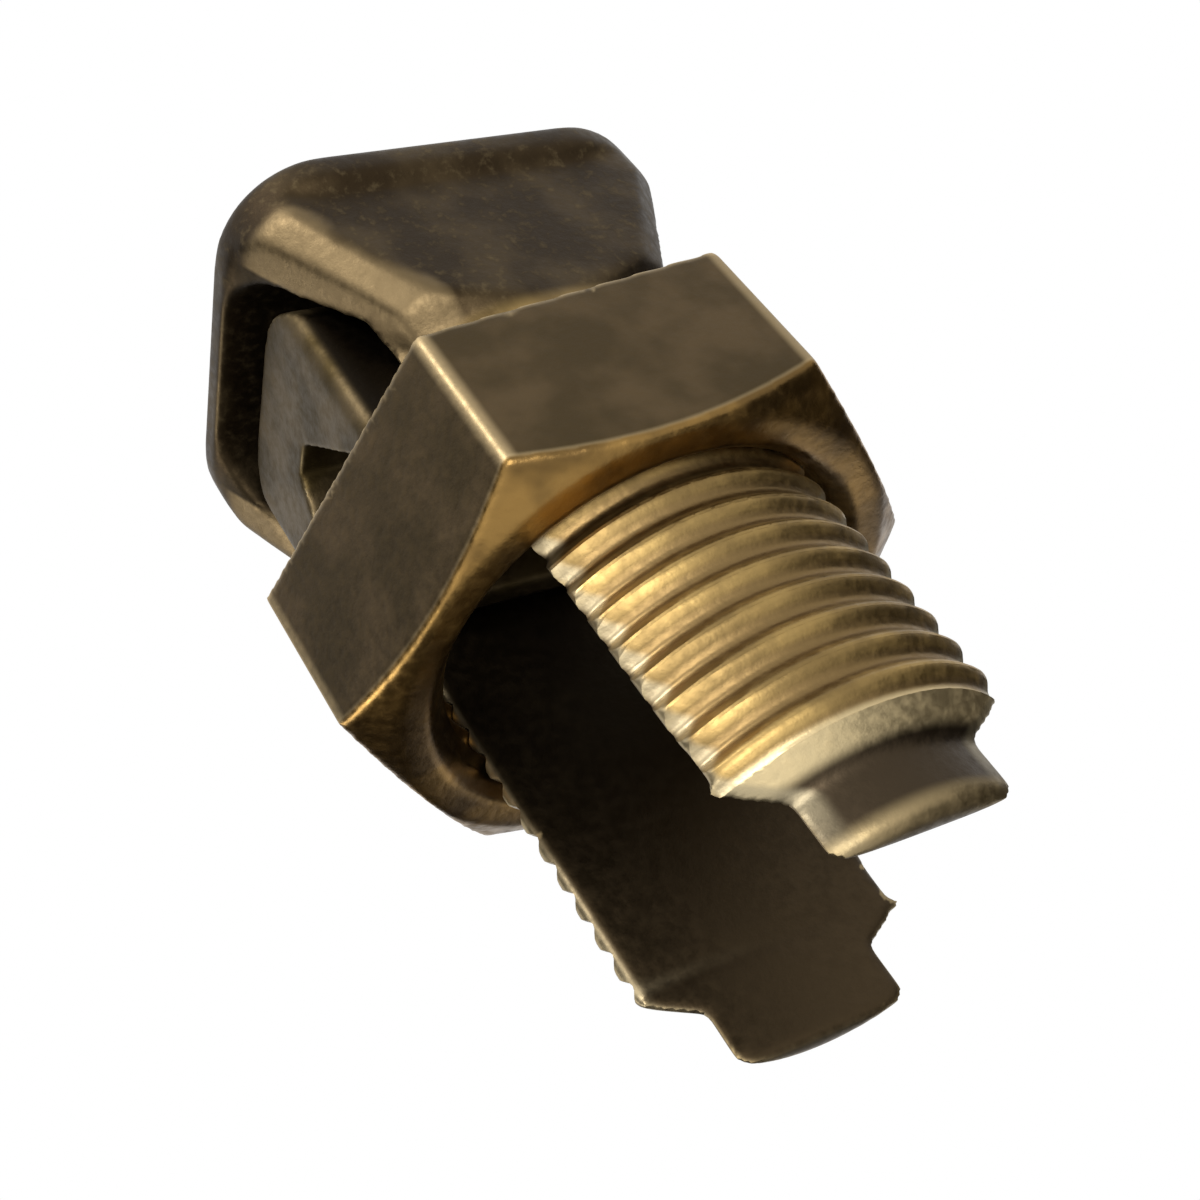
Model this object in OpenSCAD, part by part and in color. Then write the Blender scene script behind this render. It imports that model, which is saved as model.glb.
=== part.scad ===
// Split bolt connector: a forged head carries two threaded legs with a slot between them.
// A pressure bar slides in the slot and a hex nut on the legs drives it down on the conductors.
// Millimetres. +Z runs along the bolt from the head to the leg tips, +X along the conductors.

/* [Head] */
// Head size along the conductors
head_length = 14.5; // [12:0.1:24]
// Head size across the legs
head_width = 13.6; // [12.8:0.1:24]
// Corner radius of the head outline
head_corner_radius = 3.2; // [1.5:0.1:5]
// Height of the upright rim round the head
head_rim_height = 1.2; // [0.8:0.1:5]
// Chamfer along the rim's upper edge
head_rim_chamfer = 0.3; // [0.1:0.1:0.6]
// Height of the pad under the head
head_pad_height = 1.8; // [0.6:0.1:3]
// How far the pad draws in from the rim
head_pad_inset = 1.9; // [0.6:0.1:3]

/* [Legs] */
// Thread diameter over the crests
thread_diameter = 12.7; // [9:0.1:20]
// Height of the thread ends above the rim
leg_height = 22.4; // [16:0.1:40]
// Height of the squared root above the rim
root_height = 6; // [4:0.1:6.8]
// Length of the root along the conductors, at the rim
root_foot_length = 14; // [11.5:0.1:22]
// Length that its sloping flanks draw in to
root_crown_length = 8; // [5:0.1:12]
// Diameter that the root's corners are turned to at the rim
root_foot_diameter = 17.6; // [15:0.1:26]
// Diameter that they are turned to where they start to fade into the thread
root_crown_diameter = 14.4; // [13.5:0.1:18]
// Slot width between the legs
slot_width = 8.5; // [4.6:0.1:8.8]
// Metal between the head's face and the floor of the slot
seat_floor = 2.7; // [2:0.1:6]
// Radius of the slot's two lower corners
seat_corner_radius = 2; // [0.5:0.1:2.2]

/* [Leg tips] */
// Chamfer at the last thread
thread_end_chamfer = 0.3; // [0.2:0.1:1]
// Diameter of the plain tips over both legs
tip_diameter = 10.4; // [9.8:0.1:12]
// Height of the neck from the thread down to the plain tips
tip_neck_height = 0.8; // [0.4:0.1:2]
// Length of the plain tips
tip_length = 1.9; // [1:0.1:5]
// Rounding at the very end
tip_round = 0.5; // [0.2:0.1:0.5]

/* [Nut] */
// Size across the flats
nut_across_flats = 15.9; // [15.6:0.1:26]
// Height of the nut
nut_height = 6; // [3:0.1:12]
// Drop of the chamfer at each corner
nut_corner_drop = 0.8; // [0.2:0.1:1.6]
// Angle of the chamfer to the nut's face
nut_chamfer_angle = 30; // [15:1:45]
// Depth of the countersink at both ends of the bore
nut_countersink = 0.5; // [0.1:0.1:1]
// How far the nut is turned from a corner over +X
nut_turn = 7; // [0:1:59]
// Radial clearance between the bore and the legs
thread_clearance = 0.05; // [0.02:0.01:0.1]

/* [Pressure bar] */
// Length along the conductors
bar_length = 12.8; // [9:0.1:22]
// Height from the nose to the horns that the nut bears on
bar_height = 7.1; // [5:0.1:12]
// Clearance from each leg
bar_clearance = 0.1; // [0.05:0.01:0.3]
// Radius of the bar's two lower corners
bar_nose_radius = 2.2; // [1:0.1:2.2]
// Width of the hollow between the horns at their top
bar_hollow_mouth = 6.6; // [2:0.1:7]
// Width of the hollow's floor
bar_hollow_floor = 1.2; // [0.4:0.1:1.8]
// Depth of the hollow below the horns
bar_hollow_depth = 3.9; // [1:0.1:4.4]
// Rounding of the bar's upright end edges
bar_end_radius = 0.8; // [0.2:0.1:2]

/* [Position] */
// Gap left between the slot's floor and the bar
grip_gap = 1.2; // [0.3:0.1:10]

/* [Hidden] */
$fn = 96;
thread_radius = thread_diameter / 2;
tip_radius = tip_diameter / 2;
rim_top = head_pad_height + head_rim_height;
root_top = rim_top + root_height;
thread_top = rim_top + leg_height;
root_fade = root_crown_diameter / 2 - thread_radius;
tip_base = thread_top + tip_neck_height;
tip_top = tip_base + tip_length;
slot_half_width = slot_width / 2;
bar_base = seat_floor + grip_gap;
bar_top = bar_base + bar_height;
bar_half_width = slot_half_width - bar_clearance;
nut_top = bar_top + nut_height;
nut_corner_radius = nut_across_flats / 2 / cos(30);
nut_bore_radius = thread_radius + thread_clearance;
cut_margin = 1;
copper_alloy_dark = [0.33, 0.28, 0.2];
copper_alloy_worn = [0.45, 0.37, 0.22];
copper_alloy_bar = [0.4, 0.35, 0.27];

// Head outline in plan, with true arcs at its corners.
module head_outline() {
  square([head_length, head_width - 2 * head_corner_radius], center = true);
  square([head_length - 2 * head_corner_radius, head_width], center = true);
  for (x = [-1, 1], y = [-1, 1])
    translate([
      x * (head_length / 2 - head_corner_radius),
      y * (head_width / 2 - head_corner_radius)
    ])
      circle(r = head_corner_radius);
}

// Half section of the head plate: pad, upright rim and chamfer, with its outer edge at reach.
module head_section(reach) {
  polygon([
    [0, 0],
    [reach - head_pad_inset, 0],
    [reach, head_pad_height],
    [reach, rim_top - head_rim_chamfer],
    [reach - head_rim_chamfer, rim_top],
    [0, rim_top]
  ]);
}

// The same section on both sides, run straight for the given length along X.
module head_bar_section(length, reach) {
  rotate([90, 0, 90])
    linear_extrude(height = length, center = true)
      union() {
        head_section(reach);
        mirror([1, 0])
          head_section(reach);
      }
}

module head_plate() {
  head_bar_section(head_length - 2 * head_corner_radius, head_width / 2);
  rotate([0, 0, 90])
    head_bar_section(head_width - 2 * head_corner_radius, head_length / 2);
  for (x = [-1, 1], y = [-1, 1])
    translate([
      x * (head_length / 2 - head_corner_radius),
      y * (head_width / 2 - head_corner_radius),
      0
    ])
      rotate_extrude()
        head_section(head_corner_radius);
}

// Half section of both legs in the round: thread, neck and plain tips.
module leg_profile() {
  polygon([
    [0, head_pad_height],
    [thread_radius, head_pad_height],
    [thread_radius, thread_top - thread_end_chamfer],
    [thread_radius - thread_end_chamfer, thread_top],
    [tip_radius, tip_base],
    [tip_radius, tip_top - tip_round],
    [tip_radius - tip_round, tip_top - tip_round],
    [tip_radius - tip_round, tip_top],
    [0, tip_top]
  ]);
  translate([tip_radius - tip_round, tip_top - tip_round])
    circle(r = tip_round);
}

// Side view of the squared root: flanks that slope in from the rim towards the thread.
module root_flanks() {
  polygon([
    [-root_foot_length / 2, head_pad_height],
    [root_foot_length / 2, head_pad_height],
    [root_foot_length / 2, rim_top],
    [root_crown_length / 2, root_top],
    [-root_crown_length / 2, root_top],
    [-root_foot_length / 2, rim_top]
  ]);
}

// Half section of the turning that takes off the root's corners and fades them into the thread.
module root_turning() {
  polygon([
    [0, head_pad_height],
    [root_foot_diameter / 2, head_pad_height],
    [root_foot_diameter / 2, rim_top],
    [root_crown_diameter / 2, root_top - root_fade],
    [thread_radius, root_top],
    [0, root_top]
  ]);
}

// Squared root of the legs, as wide as the thread and trimmed to the head's outline.
module root() {
  intersection() {
    rotate([90, 0, 0])
      linear_extrude(height = thread_diameter, center = true)
        root_flanks();
    translate([0, 0, head_pad_height])
      linear_extrude(height = root_top)
        head_outline();
    rotate_extrude()
      root_turning();
  }
}

// End view of the slot: straight sides down to a flat floor with round corners.
module slot_section() {
  corner_y = slot_half_width - seat_corner_radius;
  corner_z = seat_floor + seat_corner_radius;
  translate([-corner_y, seat_floor])
    square([2 * corner_y, tip_top]);
  translate([-slot_half_width, corner_z])
    square([slot_width, tip_top]);
  for (y = [-1, 1])
    translate([y * corner_y, corner_z])
      circle(r = seat_corner_radius);
}

// The slot for the conductors, open at both ends and at the tips.
module slot() {
  rotate([90, 0, 90])
    linear_extrude(height = 2 * head_length, center = true)
      slot_section();
}

module split_body() {
  color(copper_alloy_dark)
    difference() {
      union() {
        head_plate();
        root();
        rotate_extrude()
          leg_profile();
      }
      slot();
    }
}

// End view of the bar: flat nose with round corners, and two horns with a hollow between them.
module bar_section() {
  corner_y = bar_half_width - bar_nose_radius;
  difference() {
    union() {
      translate([-corner_y, 0])
        square([2 * corner_y, bar_height]);
      translate([-bar_half_width, bar_nose_radius])
        square([2 * bar_half_width, bar_height - bar_nose_radius]);
      for (y = [-1, 1])
        translate([y * corner_y, bar_nose_radius])
          circle(r = bar_nose_radius);
    }
    polygon([
      [-bar_hollow_floor / 2, bar_height - bar_hollow_depth],
      [bar_hollow_floor / 2, bar_height - bar_hollow_depth],
      [bar_hollow_mouth / 2, bar_height],
      [bar_hollow_mouth / 2, bar_height + cut_margin],
      [-bar_hollow_mouth / 2, bar_height + cut_margin],
      [-bar_hollow_mouth / 2, bar_height]
    ]);
  }
}

// Plan of the bar, with its upright end edges rounded.
module bar_plan() {
  square([bar_length, 2 * (bar_half_width - bar_end_radius)], center = true);
  square([bar_length - 2 * bar_end_radius, 2 * bar_half_width], center = true);
  for (x = [-1, 1], y = [-1, 1])
    translate([x * (bar_length / 2 - bar_end_radius), y * (bar_half_width - bar_end_radius)])
      circle(r = bar_end_radius);
}

module pressure_bar() {
  color(copper_alloy_bar)
    translate([0, 0, bar_base])
      intersection() {
        rotate([90, 0, 90])
          linear_extrude(height = bar_length + cut_margin, center = true)
            bar_section();
        translate([0, 0, -cut_margin])
          linear_extrude(height = bar_height + 2 * cut_margin)
            bar_plan();
      }
}

// Hexagon with the chamfer turned on its outer face only.
module nut_blank() {
  cone_run = nut_height / tan(nut_chamfer_angle);
  face_radius = nut_corner_radius - nut_corner_drop / tan(nut_chamfer_angle);
  intersection() {
    cylinder(r = nut_corner_radius, h = nut_height, $fn = 6);
    cylinder(r1 = face_radius + cone_run, r2 = face_radius, h = nut_height);
  }
}

module hex_nut() {
  color(copper_alloy_worn)
    translate([0, 0, bar_top])
      rotate([0, 0, nut_turn])
        difference() {
          nut_blank();
          translate([0, 0, -cut_margin])
            cylinder(r = nut_bore_radius, h = nut_height + 2 * cut_margin);
          cylinder(
            r1 = nut_bore_radius + nut_countersink,
            r2 = nut_bore_radius,
            h = nut_countersink
          );
          translate([0, 0, nut_height - nut_countersink])
            cylinder(
              r1 = nut_bore_radius,
              r2 = nut_bore_radius + nut_countersink,
              h = nut_countersink
            );
        }
}

split_body();
pressure_bar();
hex_nut();
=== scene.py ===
import bpy
import math
from mathutils import Matrix, Vector


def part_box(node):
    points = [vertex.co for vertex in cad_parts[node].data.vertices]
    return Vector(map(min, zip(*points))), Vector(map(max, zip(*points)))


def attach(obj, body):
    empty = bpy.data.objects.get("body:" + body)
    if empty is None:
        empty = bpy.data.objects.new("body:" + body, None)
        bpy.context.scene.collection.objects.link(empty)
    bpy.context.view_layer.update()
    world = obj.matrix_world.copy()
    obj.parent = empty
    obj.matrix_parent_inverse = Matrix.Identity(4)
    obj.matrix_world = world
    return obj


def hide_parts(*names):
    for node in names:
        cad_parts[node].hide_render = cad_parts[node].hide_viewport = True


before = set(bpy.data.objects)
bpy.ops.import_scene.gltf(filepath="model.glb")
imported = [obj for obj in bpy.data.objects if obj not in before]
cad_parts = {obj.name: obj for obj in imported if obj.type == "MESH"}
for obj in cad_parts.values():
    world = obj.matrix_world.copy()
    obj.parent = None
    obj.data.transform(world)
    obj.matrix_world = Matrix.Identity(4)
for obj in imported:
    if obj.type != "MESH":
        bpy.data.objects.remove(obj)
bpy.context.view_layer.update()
print("frame loaded:", ", ".join(sorted(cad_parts)))

scene = bpy.context.scene
scene.view_settings.view_transform = "Standard"
mm = 0.001  # the scene is in metres, the settings below are in millimetres

# the camera stands where the photograph's did
cameraSetup = {
    "lens": 54.724,
    "sensor": 36.0,
    "place": (25.284, -35.678, 44.353),  # mm
    "right": (-0.85153, -0.18685, 0.48989),
    "up": (-0.23047, -0.70585, -0.66982),
    "back": (0.47094, -0.68328, 0.55798),
}


def addCamera(setup):
    cameraData = bpy.data.cameras.new("viewCamera")
    cameraData.lens = setup["lens"]
    cameraData.sensor_width = setup["sensor"]
    cameraData.clip_start = 1 * mm
    cameraData.clip_end = 10.0
    viewCamera = bpy.data.objects.new("viewCamera", cameraData)
    scene.collection.objects.link(viewCamera)
    turn = Matrix((setup["right"], setup["up"], setup["back"])).transposed().to_4x4()
    viewCamera.matrix_world = Matrix.Translation(Vector(setup["place"]) * mm) @ turn
    scene.camera = viewCamera


addCamera(cameraSetup)
print("camera placed")


def deselectAll():
    for item in bpy.context.selected_objects:
        item.select_set(False)


def selectOnly(piece):
    deselectAll()
    piece.select_set(True)
    bpy.context.view_layer.objects.active = piece


def editAll(piece):
    selectOnly(piece)
    bpy.ops.object.mode_set(mode="EDIT")
    bpy.ops.mesh.select_all(action="SELECT")


def leaveEdit():
    bpy.ops.object.mode_set(mode="OBJECT")


def copyOfNode(nodeName, pieceName):
    # a merged copy of a CAD node, to be finished as a piece of its own
    piece = bpy.data.objects.new(pieceName, bpy.data.objects[nodeName].data.copy())
    scene.collection.objects.link(piece)
    piece.data.materials.clear()
    editAll(piece)
    bpy.ops.mesh.remove_doubles(threshold=0.0005 * mm)
    leaveEdit()
    return piece


def applyModifier(piece, kind, settings):
    selectOnly(piece)
    modifier = piece.modifiers.new(kind.lower(), kind)
    for key, value in settings.items():
        setattr(modifier, key, value)
    bpy.ops.object.modifier_apply(modifier=modifier.name)


def softenEdges(piece, setup):
    # an even fine mesh, relaxed a little, gives forged and worn edges a small radius
    applyModifier(piece, "REMESH", {"mode": "VOXEL", "voxel_size": setup["voxel"] * mm, "adaptivity": 0.0})
    applyModifier(piece, "SMOOTH", {"factor": 0.5, "iterations": setup["rounds"]})


def cutWith(piece, tool, operation):
    applyModifier(piece, "BOOLEAN", {"object": tool, "operation": operation, "solver": "EXACT"})
    bpy.data.objects.remove(tool)


def finishPiece(piece, body, node, material, setup):
    piece.data.materials.clear()
    piece.data.materials.append(material)
    selectOnly(piece)
    bpy.ops.object.shade_smooth_by_angle(angle=math.radians(setup["sharpAngle"]))
    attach(piece, body)
    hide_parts(node)


def toLinear(hexColour):
    values = [int(hexColour[at:at + 2], 16) / 255 for at in (0, 2, 4)]
    return tuple(v / 12.92 if v <= 0.04045 else ((v + 0.055) / 1.055) ** 2.4 for v in values) + (1.0,)


def addNode(tree, kind, settings=None, links=None):
    # sets sockets by number or name and everything else as a property, then links the inputs
    node = tree.nodes.new(kind)
    for key, value in (settings or {}).items():
        if isinstance(key, int) or key in node.inputs:
            node.inputs[key].default_value = value
        else:
            setattr(node, key, value)
    for key, source in (links or {}).items():
        tree.links.new(source, node.inputs[key])
    return node


def newMaterial(name):
    material = bpy.data.materials.new(name)
    material.use_nodes = True
    return material, material.node_tree, material.node_tree.nodes["Principled BSDF"]


def vectorMath(tree, operation, source, factors):
    settings = {"operation": operation, 1: factors}
    return addNode(tree, "ShaderNodeVectorMath", settings, {0: source}).outputs[0]


def millimetres(tree):
    # Object coordinates in millimetres, and the distance from the bolt's axis
    coordinates = addNode(tree, "ShaderNodeTexCoord").outputs["Object"]
    place = vectorMath(tree, "MULTIPLY", coordinates, (1000, 1000, 1000))
    flat = vectorMath(tree, "MULTIPLY", place, (1, 1, 0))
    radius = addNode(tree, "ShaderNodeVectorMath", {"operation": "LENGTH"}, {0: flat}).outputs["Value"]
    return place, radius


def ramp(tree, source, low, high, atLow=0.0, atHigh=1.0):
    settings = {
        "interpolation_type": "SMOOTHSTEP",
        "From Min": low,
        "From Max": high,
        "To Min": atLow,
        "To Max": atHigh,
    }
    return addNode(tree, "ShaderNodeMapRange", settings, {"Value": source}).outputs["Result"]


def calculate(tree, operation, first, second=0.0):
    # each of the two is a number or another node's output
    node = addNode(tree, "ShaderNodeMath", {"operation": operation})
    for index, value in enumerate((first, second)):
        if isinstance(value, (int, float)):
            node.inputs[index].default_value = value
        else:
            tree.links.new(value, node.inputs[index])
    return node.outputs[0]


def blendColours(tree, factor, first, second):
    # colours are hex text or another node's output
    node = addNode(tree, "ShaderNodeMix", {"data_type": "RGBA"}, {0: factor})
    for index, value in ((6, first), (7, second)):
        if isinstance(value, str):
            node.inputs[index].default_value = toLinear(value)
        else:
            tree.links.new(value, node.inputs[index])
    return node.outputs[2]


def noise(tree, place, scale, detail, roughness=0.5):
    settings = {"Scale": scale, "Detail": detail, "Roughness": roughness}
    return addNode(tree, "ShaderNodeTexNoise", settings, {"Vector": place}).outputs["Fac"]


# what the oxide on all three bronzes has in common
oxide = {
    "grainScale": 3.2,  # grain of about 0.3 mm
    "grainDetail": 4,
    "grainRoughness": 0.6,
    "stainDetail": 3,
    "stainRange": (0.38, 0.66),
    "grainRange": (0.3, 0.8),
    "bumpStrength": 0.35,
    "bumpDepth": 0.04,  # mm
}


def grainOf(tree, place):
    return noise(tree, place, oxide["grainScale"], oxide["grainDetail"], oxide["grainRoughness"])


def stainsOf(tree, place, look):
    return noise(tree, place, look["stainScale"], oxide["stainDetail"])


def pointiness(tree):
    return addNode(tree, "ShaderNodeNewGeometry").outputs["Pointiness"]


def finishMetal(tree, shader, colour, grain, rough):
    tree.links.new(colour, shader.inputs["Base Color"])
    shader.inputs["Metallic"].default_value = 1.0
    tree.links.new(rough, shader.inputs["Roughness"])
    settings = {"Strength": oxide["bumpStrength"], "Distance": oxide["bumpDepth"] * mm}
    bump = addNode(tree, "ShaderNodeBump", settings, {"Height": grain})
    tree.links.new(bump.outputs[0], shader.inputs["Normal"])


thread = {
    "pitch": 25.4 / 24,  # 24 threads to the inch
    "crestRadius": 6.35,
    "depth": 0.3,
    "fitGap": 0.05,  # between the legs' thread and the nut's
    "facets": 8,  # across one groove
    "reach": 0.46,  # half of one groove's opening, as a share of the pitch
    "startHeight": 9.7,
    "legTurns": 16,
    "nutTurns": 8,
    "stepsPerTurn": 72,
    "runOut": 1.6,
    "pastCrest": 0.15,  # how far the cutting tools stand past the metal
    "pastRoot": 0.1,
}

bodyLook = {
    "stainScale": 0.45,  # stains of about 2 mm
    "forged": "463A28",
    "forgedDark": "32281B",
    # painted light on the root's sloping flanks
    "paintedFlankLight": "6B5B41",
    "worn": "A8946C",
    # painted shade in the slot, deep at the bottom and lighter higher up
    "slotShadeDeep": "2C2418",
    "slotShadeLight": "463A29",
    # painted highlight on the slot-edge chamfers
    "slotEdgeHighlight": "A2967A",
    "brass": "9C8250",
    "brassDull": "7F6941",
    "groove": "7A6440",
    # painted highlight on the thread's shoulder
    "shoulderHighlight": "D2BE92",
    "tip": "41372A",
    "slotHalfWidth": 4.25,
    "slotFoot": 2.4,
    "slotFade": 14.0,  # the slot's walls grow paler from here up
    "threadFoot": 9.2,
    "threadTop": 25.4,
    "tipRadius": 5.2,
    "tipBase": 25.95,
    "tipTop": 28.1,
    "flankFoot": 7.0,
    "flankSlope": 0.5,
    "rimTop": 3.0,
    "rough": (0.42, 0.6),
    "threadSmoother": 0.06,
}


def forgedAndThreadedBronze():
    # Silicon bronze, forged and left to darken: brown-olive oxide on the head, rubbed bright along its
    # edges, and clean yellow metal where the thread is cut.
    # Painted light on the root's flanks, painted highlights on the slot-edge chamfers and the thread's
    # shoulder, and painted shade in the slot.
    look = bodyLook
    material, tree, shader = newMaterial("forgedAndThreadedBronze")
    place, radius = millimetres(tree)
    split = addNode(tree, "ShaderNodeSeparateXYZ", links={0: place})
    height = split.outputs[2]
    sideways = calculate(tree, "ABSOLUTE", split.outputs[1])
    stains = stainsOf(tree, place, look)
    grain = grainOf(tree, place)
    forged = blendColours(tree, ramp(tree, stains, *oxide["stainRange"]), look["forgedDark"], look["forged"])
    forged = blendColours(tree, ramp(tree, grain, 0.5, 0.8, 0, 0.14), forged, look["worn"])
    # painted light: the sloping flanks of the root are painted paler than the rest of the forging, where
    # they face the light
    climb = calculate(tree, "SUBTRACT", height, look["rimTop"])
    climb = calculate(tree, "MULTIPLY", climb, look["flankSlope"])
    acrossFlank = calculate(tree, "ADD", split.outputs[0], climb)
    fromFlank = calculate(tree, "SUBTRACT", look["flankFoot"], acrossFlank)
    ragged = calculate(tree, "MULTIPLY", calculate(tree, "SUBTRACT", stains, 0.5), 2.0)
    fromFlank = calculate(tree, "ADD", fromFlank, ragged)
    aboveRim = ramp(tree, height, look["rimTop"], look["rimTop"] + 0.5)
    onFlank = calculate(tree, "MULTIPLY", ramp(tree, fromFlank, 0.9, 1.5, 1, 0), aboveRim)
    forged = blendColours(tree, onFlank, forged, look["paintedFlankLight"])
    edge = pointiness(tree)
    forged = blendColours(tree, ramp(tree, edge, 0.52, 0.6, 0, 0.75), forged, look["worn"])
    # thread: paler crests, duller flanks and darker towards the groove roots
    grooveRadius = thread["crestRadius"] - thread["depth"]
    crest = ramp(tree, radius, grooveRadius + 0.05, thread["crestRadius"] - 0.12)
    brass = blendColours(tree, ramp(tree, stains, 0.4, 0.62), look["brassDull"], look["brass"])
    threaded = blendColours(tree, crest, look["groove"], brass)
    outside = ramp(tree, sideways, look["slotHalfWidth"] + 0.03, look["slotHalfWidth"] + 0.2)
    above = ramp(tree, height, look["threadFoot"] - 0.4, look["threadFoot"] + 0.4)
    onThread = calculate(tree, "MULTIPLY", outside, above)
    pastThread = ramp(tree, height, look["tipBase"] - 0.2, look["tipBase"] + 0.1)
    # painted highlight: the shoulder above the last thread is painted pale
    onShoulder = ramp(tree, height, look["threadTop"] - 0.25, look["threadTop"])
    outer = blendColours(tree, onShoulder, threaded, look["shoulderHighlight"])
    nearRim = ramp(tree, radius, look["tipRadius"] - 0.6, look["tipRadius"] - 0.2, 0, 0.7)
    nearTop = ramp(tree, height, look["tipTop"] - 0.8, look["tipTop"] - 0.3)
    tip = blendColours(tree, calculate(tree, "MULTIPLY", nearRim, nearTop), look["tip"], look["worn"])
    outer = blendColours(tree, pastThread, outer, tip)
    colour = blendColours(tree, onThread, forged, outer)
    # painted shade on the slot's walls, darkest at the bottom and lifting towards the tips
    aboveSlot = ramp(tree, height, look["slotFoot"], look["slotFoot"] + 1)
    inSlot = calculate(tree, "MULTIPLY", calculate(tree, "SUBTRACT", 1.0, outside), aboveSlot)
    upSlot = ramp(tree, height, look["slotFade"], look["tipTop"])
    slotShadeColour = blendColours(tree, upSlot, look["slotShadeDeep"], look["slotShadeLight"])
    slotShadeColour = blendColours(tree, ramp(tree, edge, 0.53, 0.6, 0, 0.7), slotShadeColour, look["worn"])
    colour = blendColours(tree, inSlot, colour, slotShadeColour)
    # painted highlight along the chamfer between the slot's walls and the thread
    edgeHighlight = ramp(tree, sideways, look["slotHalfWidth"] + 0.35, look["slotHalfWidth"] + 0.55, 0.7, 0)
    edgeHighlight = calculate(tree, "MULTIPLY", edgeHighlight, onThread)
    upTip = ramp(tree, height, look["threadTop"], look["tipTop"], 1, 0.2)
    edgeHighlight = calculate(tree, "MULTIPLY", edgeHighlight, upTip)
    colour = blendColours(tree, edgeHighlight, colour, look["slotEdgeHighlight"])
    rough = ramp(tree, grain, *oxide["grainRange"], *look["rough"])
    rough = calculate(tree, "SUBTRACT", rough, calculate(tree, "MULTIPLY", onThread, look["threadSmoother"]))
    finishMetal(tree, shader, colour, grain, rough)
    return material


barLook = {
    "stainScale": 0.6,
    "oxide": "594C36",
    "oxideDark": "40351F",
    "worn": "A39271",
    # painted shade on the bar's two sides
    "sideShade": "17120B",
    "sideWidth": 4.15,
    "rough": (0.42, 0.6),
}


def oxidisedBar():
    # Bronze bar stock, sawn and tumbled: grey-brown oxide all over, lighter on its rubbed edges, with
    # painted shade on its two sides in the slot.
    look = barLook
    material, tree, shader = newMaterial("oxidisedBarBronze")
    place = millimetres(tree)[0]
    stains = stainsOf(tree, place, look)
    grain = grainOf(tree, place)
    colour = blendColours(tree, ramp(tree, stains, *oxide["stainRange"]), look["oxideDark"], look["oxide"])
    colour = blendColours(tree, ramp(tree, pointiness(tree), 0.52, 0.6, 0, 0.8), colour, look["worn"])
    # the two sides that slide on the legs are painted near black as shade
    split = addNode(tree, "ShaderNodeSeparateXYZ", links={0: place})
    sideways = calculate(tree, "ABSOLUTE", split.outputs[1])
    onSide = ramp(tree, sideways, look["sideWidth"] - 0.25, look["sideWidth"] - 0.05)
    colour = blendColours(tree, onSide, colour, look["sideShade"])
    finishMetal(tree, shader, colour, grain, ramp(tree, grain, *oxide["grainRange"], *look["rough"]))
    return material


nutLook = {
    "stainScale": 0.45,
    "flat": "574832",
    "flatDark": "463A26",
    "worn": "B8A27A",
    "turned": "967642",
    "turnedDull": "6A5330",
    "topHeight": 17.0,
    "faceRadius": 7.794,
    "cornerRadius": 9.18,
    "chamferSlope": 0.57735,
    "boreRadius": 6.95,
    "rough": (0.42, 0.58),
    "turnedSmoother": 0.14,
}


def oxidisedNut():
    # Bronze hexagon bar: brown oxide on the flats, fresh turned metal on the chamfer and in the bore.
    look = nutLook
    material, tree, shader = newMaterial("oxidisedAndTurnedBronze")
    place, radius = millimetres(tree)
    height = addNode(tree, "ShaderNodeSeparateXYZ", links={0: place}).outputs[2]
    stains = stainsOf(tree, place, look)
    grain = grainOf(tree, place)
    colour = blendColours(tree, ramp(tree, stains, *oxide["stainRange"]), look["flatDark"], look["flat"])
    colour = blendColours(tree, ramp(tree, pointiness(tree), 0.508, 0.56, 0, 0.9), colour, look["worn"])
    onCorner = ramp(tree, radius, look["cornerRadius"] - 0.2, look["cornerRadius"] - 0.08, 0, 0.5)
    colour = blendColours(tree, onCorner, colour, look["worn"])
    # how far a point lies under the cone of the chamfer
    drop = calculate(tree, "SUBTRACT", radius, look["faceRadius"])
    drop = calculate(tree, "MAXIMUM", calculate(tree, "MULTIPLY", drop, look["chamferSlope"]), 0.0)
    coneHeight = calculate(tree, "SUBTRACT", look["topHeight"], drop)
    below = calculate(tree, "SUBTRACT", coneHeight, height)
    colour = blendColours(tree, ramp(tree, below, 0.1, 0.3, 0.5, 0), colour, look["worn"])
    inBore = ramp(tree, radius, look["boreRadius"] - 0.1, look["boreRadius"] + 0.1, 1, 0)
    turned = calculate(tree, "MAXIMUM", ramp(tree, below, 0.1, 0.22, 1, 0), inBore)
    bright = blendColours(tree, ramp(tree, stains, 0.38, 0.62), look["turnedDull"], look["turned"])
    colour = blendColours(tree, turned, colour, bright)
    rough = ramp(tree, grain, *oxide["grainRange"], *look["rough"])
    rough = calculate(tree, "SUBTRACT", rough, calculate(tree, "MULTIPLY", turned, look["turnedSmoother"]))
    finishMetal(tree, shader, colour, grain, rough)
    return material


bodyMaterial = forgedAndThreadedBronze()
barMaterial = oxidisedBar()
nutMaterial = oxidisedNut()
print("materials made")


def loopTool(name, corners):
    # a closed loop of edges in the XZ plane, through corners given as (radius, height) in mm
    bpy.ops.mesh.primitive_circle_add(vertices=len(corners), radius=1 * mm, fill_type="NOTHING")
    tool = bpy.context.active_object
    tool.name = name
    for vertex, (radius, height) in zip(tool.data.vertices, corners):
        vertex.co = Vector((radius, 0, height)) * mm
    return tool


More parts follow.
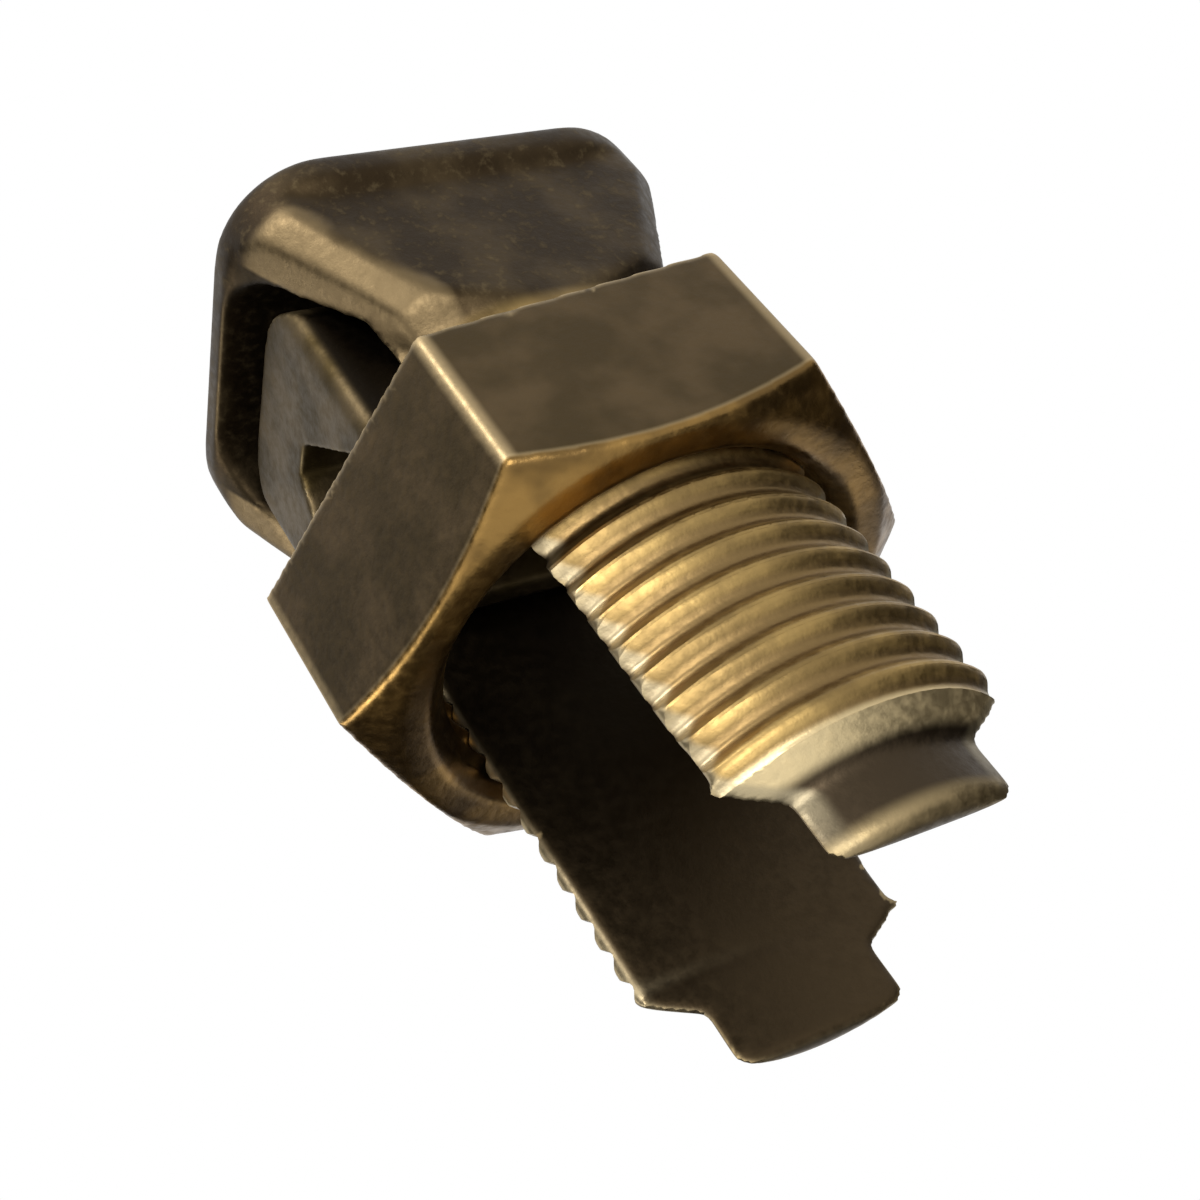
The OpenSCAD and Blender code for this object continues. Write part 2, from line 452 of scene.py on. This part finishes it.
def helixTool(name, corners, startHeight, turns, runOut):
    # a groove's section screwed up round the bolt's axis; over runOut it sinks in from the surface
    tool = loopTool(name, [(radius, startHeight + height) for radius, height in corners])
    applyModifier(tool, "SCREW", {
        "axis": "Z",
        "angle": 2 * math.pi,
        "screw_offset": thread["pitch"] * mm,
        "iterations": turns,
        "steps": thread["stepsPerTurn"],
        "render_steps": thread["stepsPerTurn"],
        "use_merge_vertices": False,
    })
    editAll(tool)
    bpy.ops.mesh.fill_holes(sides=0)
    bpy.ops.mesh.normals_make_consistent(inside=False)
    leaveEdit()
    for vertex in tool.data.vertices:
        left = startHeight + runOut - vertex.co.z / mm
        if left > 0 and runOut > 0:
            outwards = Vector((vertex.co.x, vertex.co.y, 0)).normalized()
            vertex.co += outwards * 1.5 * thread["depth"] * min(left / runOut, 1) * mm
    return tool


def waveSection(middle, direction, beyond):
    # one rounded groove as (radius, height): it bites by half the depth each way from the middle
    # radius towards direction, and is closed by two corners on the far side of the surface
    facets = thread["facets"]
    shares = [thread["reach"] * (2 * step / facets - 1) for step in range(facets + 1)]
    bite = direction * thread["depth"] / 2
    wave = [(middle + bite * math.cos(2 * math.pi * share), share) for share in shares]
    section = wave + [(beyond, shares[-1]), (beyond, shares[0])]
    return [(radius, share * thread["pitch"]) for radius, share in section]


def ringTool(name, corners):
    # a closed ring turned about the bolt's axis from corners given as (radius, height) in mm
    ring = loopTool(name, corners)
    editAll(ring)
    bpy.ops.mesh.spin(steps=96, angle=2 * math.pi, center=(0, 0, 0), axis=(0, 0, 1))
    bpy.ops.mesh.select_all(action="SELECT")
    bpy.ops.mesh.remove_doubles(threshold=0.001 * mm)
    bpy.ops.mesh.normals_make_consistent(inside=False)
    leaveEdit()
    return ring


# split body: forged head, squared root and two threaded legs
bodySetup = {
    "voxel": 0.145,
    "rounds": 10,
    "sharpAngle": 40,
    "slotChamfer": 0.7,
    "chamferAbove": 7.4,
    "wallTolerance": 0.01,
    "crestTolerance": 0.02,
}


def onSlotEdge(end, setup):
    # whether a point, in mm, is where one of the slot's walls meets the thread's cylinder
    offWall = abs(abs(end.y) - bodyLook["slotHalfWidth"])
    offCrest = abs(Vector((end.x, end.y)).length - thread["crestRadius"])
    onBoth = offWall < setup["wallTolerance"] and offCrest < setup["crestTolerance"]
    return onBoth and end.z > setup["chamferAbove"]


def chamferSlotEdges(piece, setup):
    # takes the sharp edge off both legs where the slot's walls meet the thread
    editAll(piece)
    bpy.ops.mesh.select_mode(type="EDGE")
    bpy.ops.mesh.select_all(action="DESELECT")
    leaveEdit()
    for edge in piece.data.edges:
        ends = [piece.data.vertices[index].co / mm for index in edge.vertices]
        edge.select = all(onSlotEdge(end, setup) for end in ends)
    bpy.ops.object.mode_set(mode="EDIT")
    bpy.ops.mesh.bevel(offset=setup["slotChamfer"] * mm, segments=2, affect="EDGES")
    leaveEdit()


splitBody = copyOfNode("split_body", "threadedSplitBody")
chamferSlotEdges(splitBody, bodySetup)
softenEdges(splitBody, bodySetup)
middleRadius = thread["crestRadius"] - thread["depth"] / 2
legSection = waveSection(middleRadius, -1, thread["crestRadius"] + thread["pastCrest"])
legTool = helixTool("legTool", legSection, thread["startHeight"], thread["legTurns"], thread["runOut"])
cutWith(splitBody, legTool, "DIFFERENCE")
finishPiece(splitBody, "body", "split_body", bodyMaterial, bodySetup)
print("split body threaded:", len(splitBody.data.polygons), "faces")

# pressure bar: slides in the slot under the nut
barSetup = {"voxel": 0.13, "rounds": 5, "sharpAngle": 45}

pressureBar = copyOfNode("pressure_bar", "slidingPressureBar")
softenEdges(pressureBar, barSetup)
finishPiece(pressureBar, "bar", "pressure_bar", barMaterial, barSetup)
print("pressure bar made:", len(pressureBar.data.polygons), "faces")

# hex nut with its internal thread
nutSetup = {
    "voxel": 0.14,
    "rounds": 6,
    "sharpAngle": 40,
    "ringOuter": 6.75,
    "lowInset": 1.5,  # clears the shallow first turn of the legs' thread
    "topInset": 0.5,
    "leadIn": 0.4,
}


def threadRing(low, high, setup):
    # the metal that the internal thread is cut in, with a lead-in cone at each end
    inner = thread["crestRadius"] - thread["depth"] + thread["fitGap"]
    outer = setup["ringOuter"]
    leadIn = setup["leadIn"]
    bottom = low + setup["lowInset"]
    top = high - setup["topInset"]
    return ringTool("threadRing", [
        (inner, bottom + leadIn),
        (inner + leadIn, bottom),
        (outer, bottom),
        (outer, top),
        (inner + leadIn, top),
        (inner, top - leadIn),
    ])


nutLow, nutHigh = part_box("hex_nut")
hexNut = copyOfNode("hex_nut", "threadedHexNut")
softenEdges(hexNut, nutSetup)
cutWith(hexNut, threadRing(nutLow.z / mm, nutHigh.z / mm, nutSetup), "UNION")
nutBeyond = thread["crestRadius"] - thread["depth"] - thread["pastRoot"]
nutSection = waveSection(middleRadius + thread["fitGap"], 1, nutBeyond)
nutStart = thread["startHeight"] + thread["pitch"] / 2
cutWith(hexNut, helixTool("nutTool", nutSection, nutStart, thread["nutTurns"], 0), "DIFFERENCE")
finishPiece(hexNut, "nut", "hex_nut", nutMaterial, nutSetup)
print("nut threaded:", len(hexNut.data.polygons), "faces")

# soft studio light, with dark cards that the metal mirrors
studio = {
    "fill": 0.55,
    "softboxes": [
        # name, direction from the part, distance mm, size mm, power W
        ("keySoftbox", (0.45, -0.80, 0.40), 180, 120, 0.24),
        ("lowSoftbox", (0.60, -0.60, -0.53), 180, 40, 0.16),
        ("sideSoftbox", (0.80, 0.55, 0.20), 200, 120, 0.25),
    ],
    "cards": [
        # name, direction from the part, distance mm, size mm
        ("rightCard", (-0.85, -0.1, 0.5), 110, 170),
        ("underCard", (0.23, 0.80, 0.55), 110, 170),
        ("leftCard", (0.95, 0.1, -0.3), 110, 90),
    ],
    "aim": (0, 0, 14),
    "cardColour": "2C261C",
    "cardRoughness": 0.9,
}


def addWorld(fill):
    # the camera, metal and glass see plain white, and the rest is lit by a softer fill
    world = bpy.data.worlds.new("whiteStudio")
    scene.world = world
    world.use_nodes = True
    tree = world.node_tree
    background = tree.nodes["Background"]
    path = addNode(tree, "ShaderNodeLightPath")
    seen = calculate(tree, "MAXIMUM", path.outputs["Is Camera Ray"], path.outputs["Is Glossy Ray"])
    seen = calculate(tree, "MAXIMUM", seen, path.outputs["Is Transmission Ray"])
    strength = addNode(tree, "ShaderNodeMapRange", {"To Min": fill, "To Max": 1.0}, {"Value": seen})
    tree.links.new(strength.outputs[0], background.inputs["Strength"])
    background.inputs["Color"].default_value = (1, 1, 1, 1)


def aimAtPart(item, direction, distance, track):
    towards = Vector(direction).normalized()
    item.location = (Vector(studio["aim"]) + towards * distance) * mm
    item.rotation_mode = "QUATERNION"
    item.rotation_quaternion = (-towards).to_track_quat(track, "Y")
    item.visible_camera = False


def addSoftbox(name, direction, distance, size, power):
    lampData = bpy.data.lights.new(name, "AREA")
    lampData.shape = "DISK"
    lampData.size = size * mm
    lampData.energy = power
    lamp = bpy.data.objects.new(name, lampData)
    scene.collection.objects.link(lamp)
    aimAtPart(lamp, direction, distance, "-Z")


def darkCard():
    # matt dark card: a dull brown-black that metal mirrors as its dark side
    material, _, shader = newMaterial("darkCard")
    shader.inputs["Base Color"].default_value = toLinear(studio["cardColour"])
    shader.inputs["Roughness"].default_value = studio["cardRoughness"]
    return material


def addCard(name, direction, distance, size, material):
    # a dark card, as a photographer stands beside metal to give it a dark side
    bpy.ops.mesh.primitive_plane_add(size=size * mm)
    card = bpy.context.active_object
    card.name = name
    aimAtPart(card, direction, distance, "Z")
    card.data.materials.append(material)


addWorld(studio["fill"])
cardMaterial = darkCard()
for card in studio["cards"]:
    addCard(*card, cardMaterial)
for softbox in studio["softboxes"]:
    addSoftbox(*softbox)
print("studio lit")
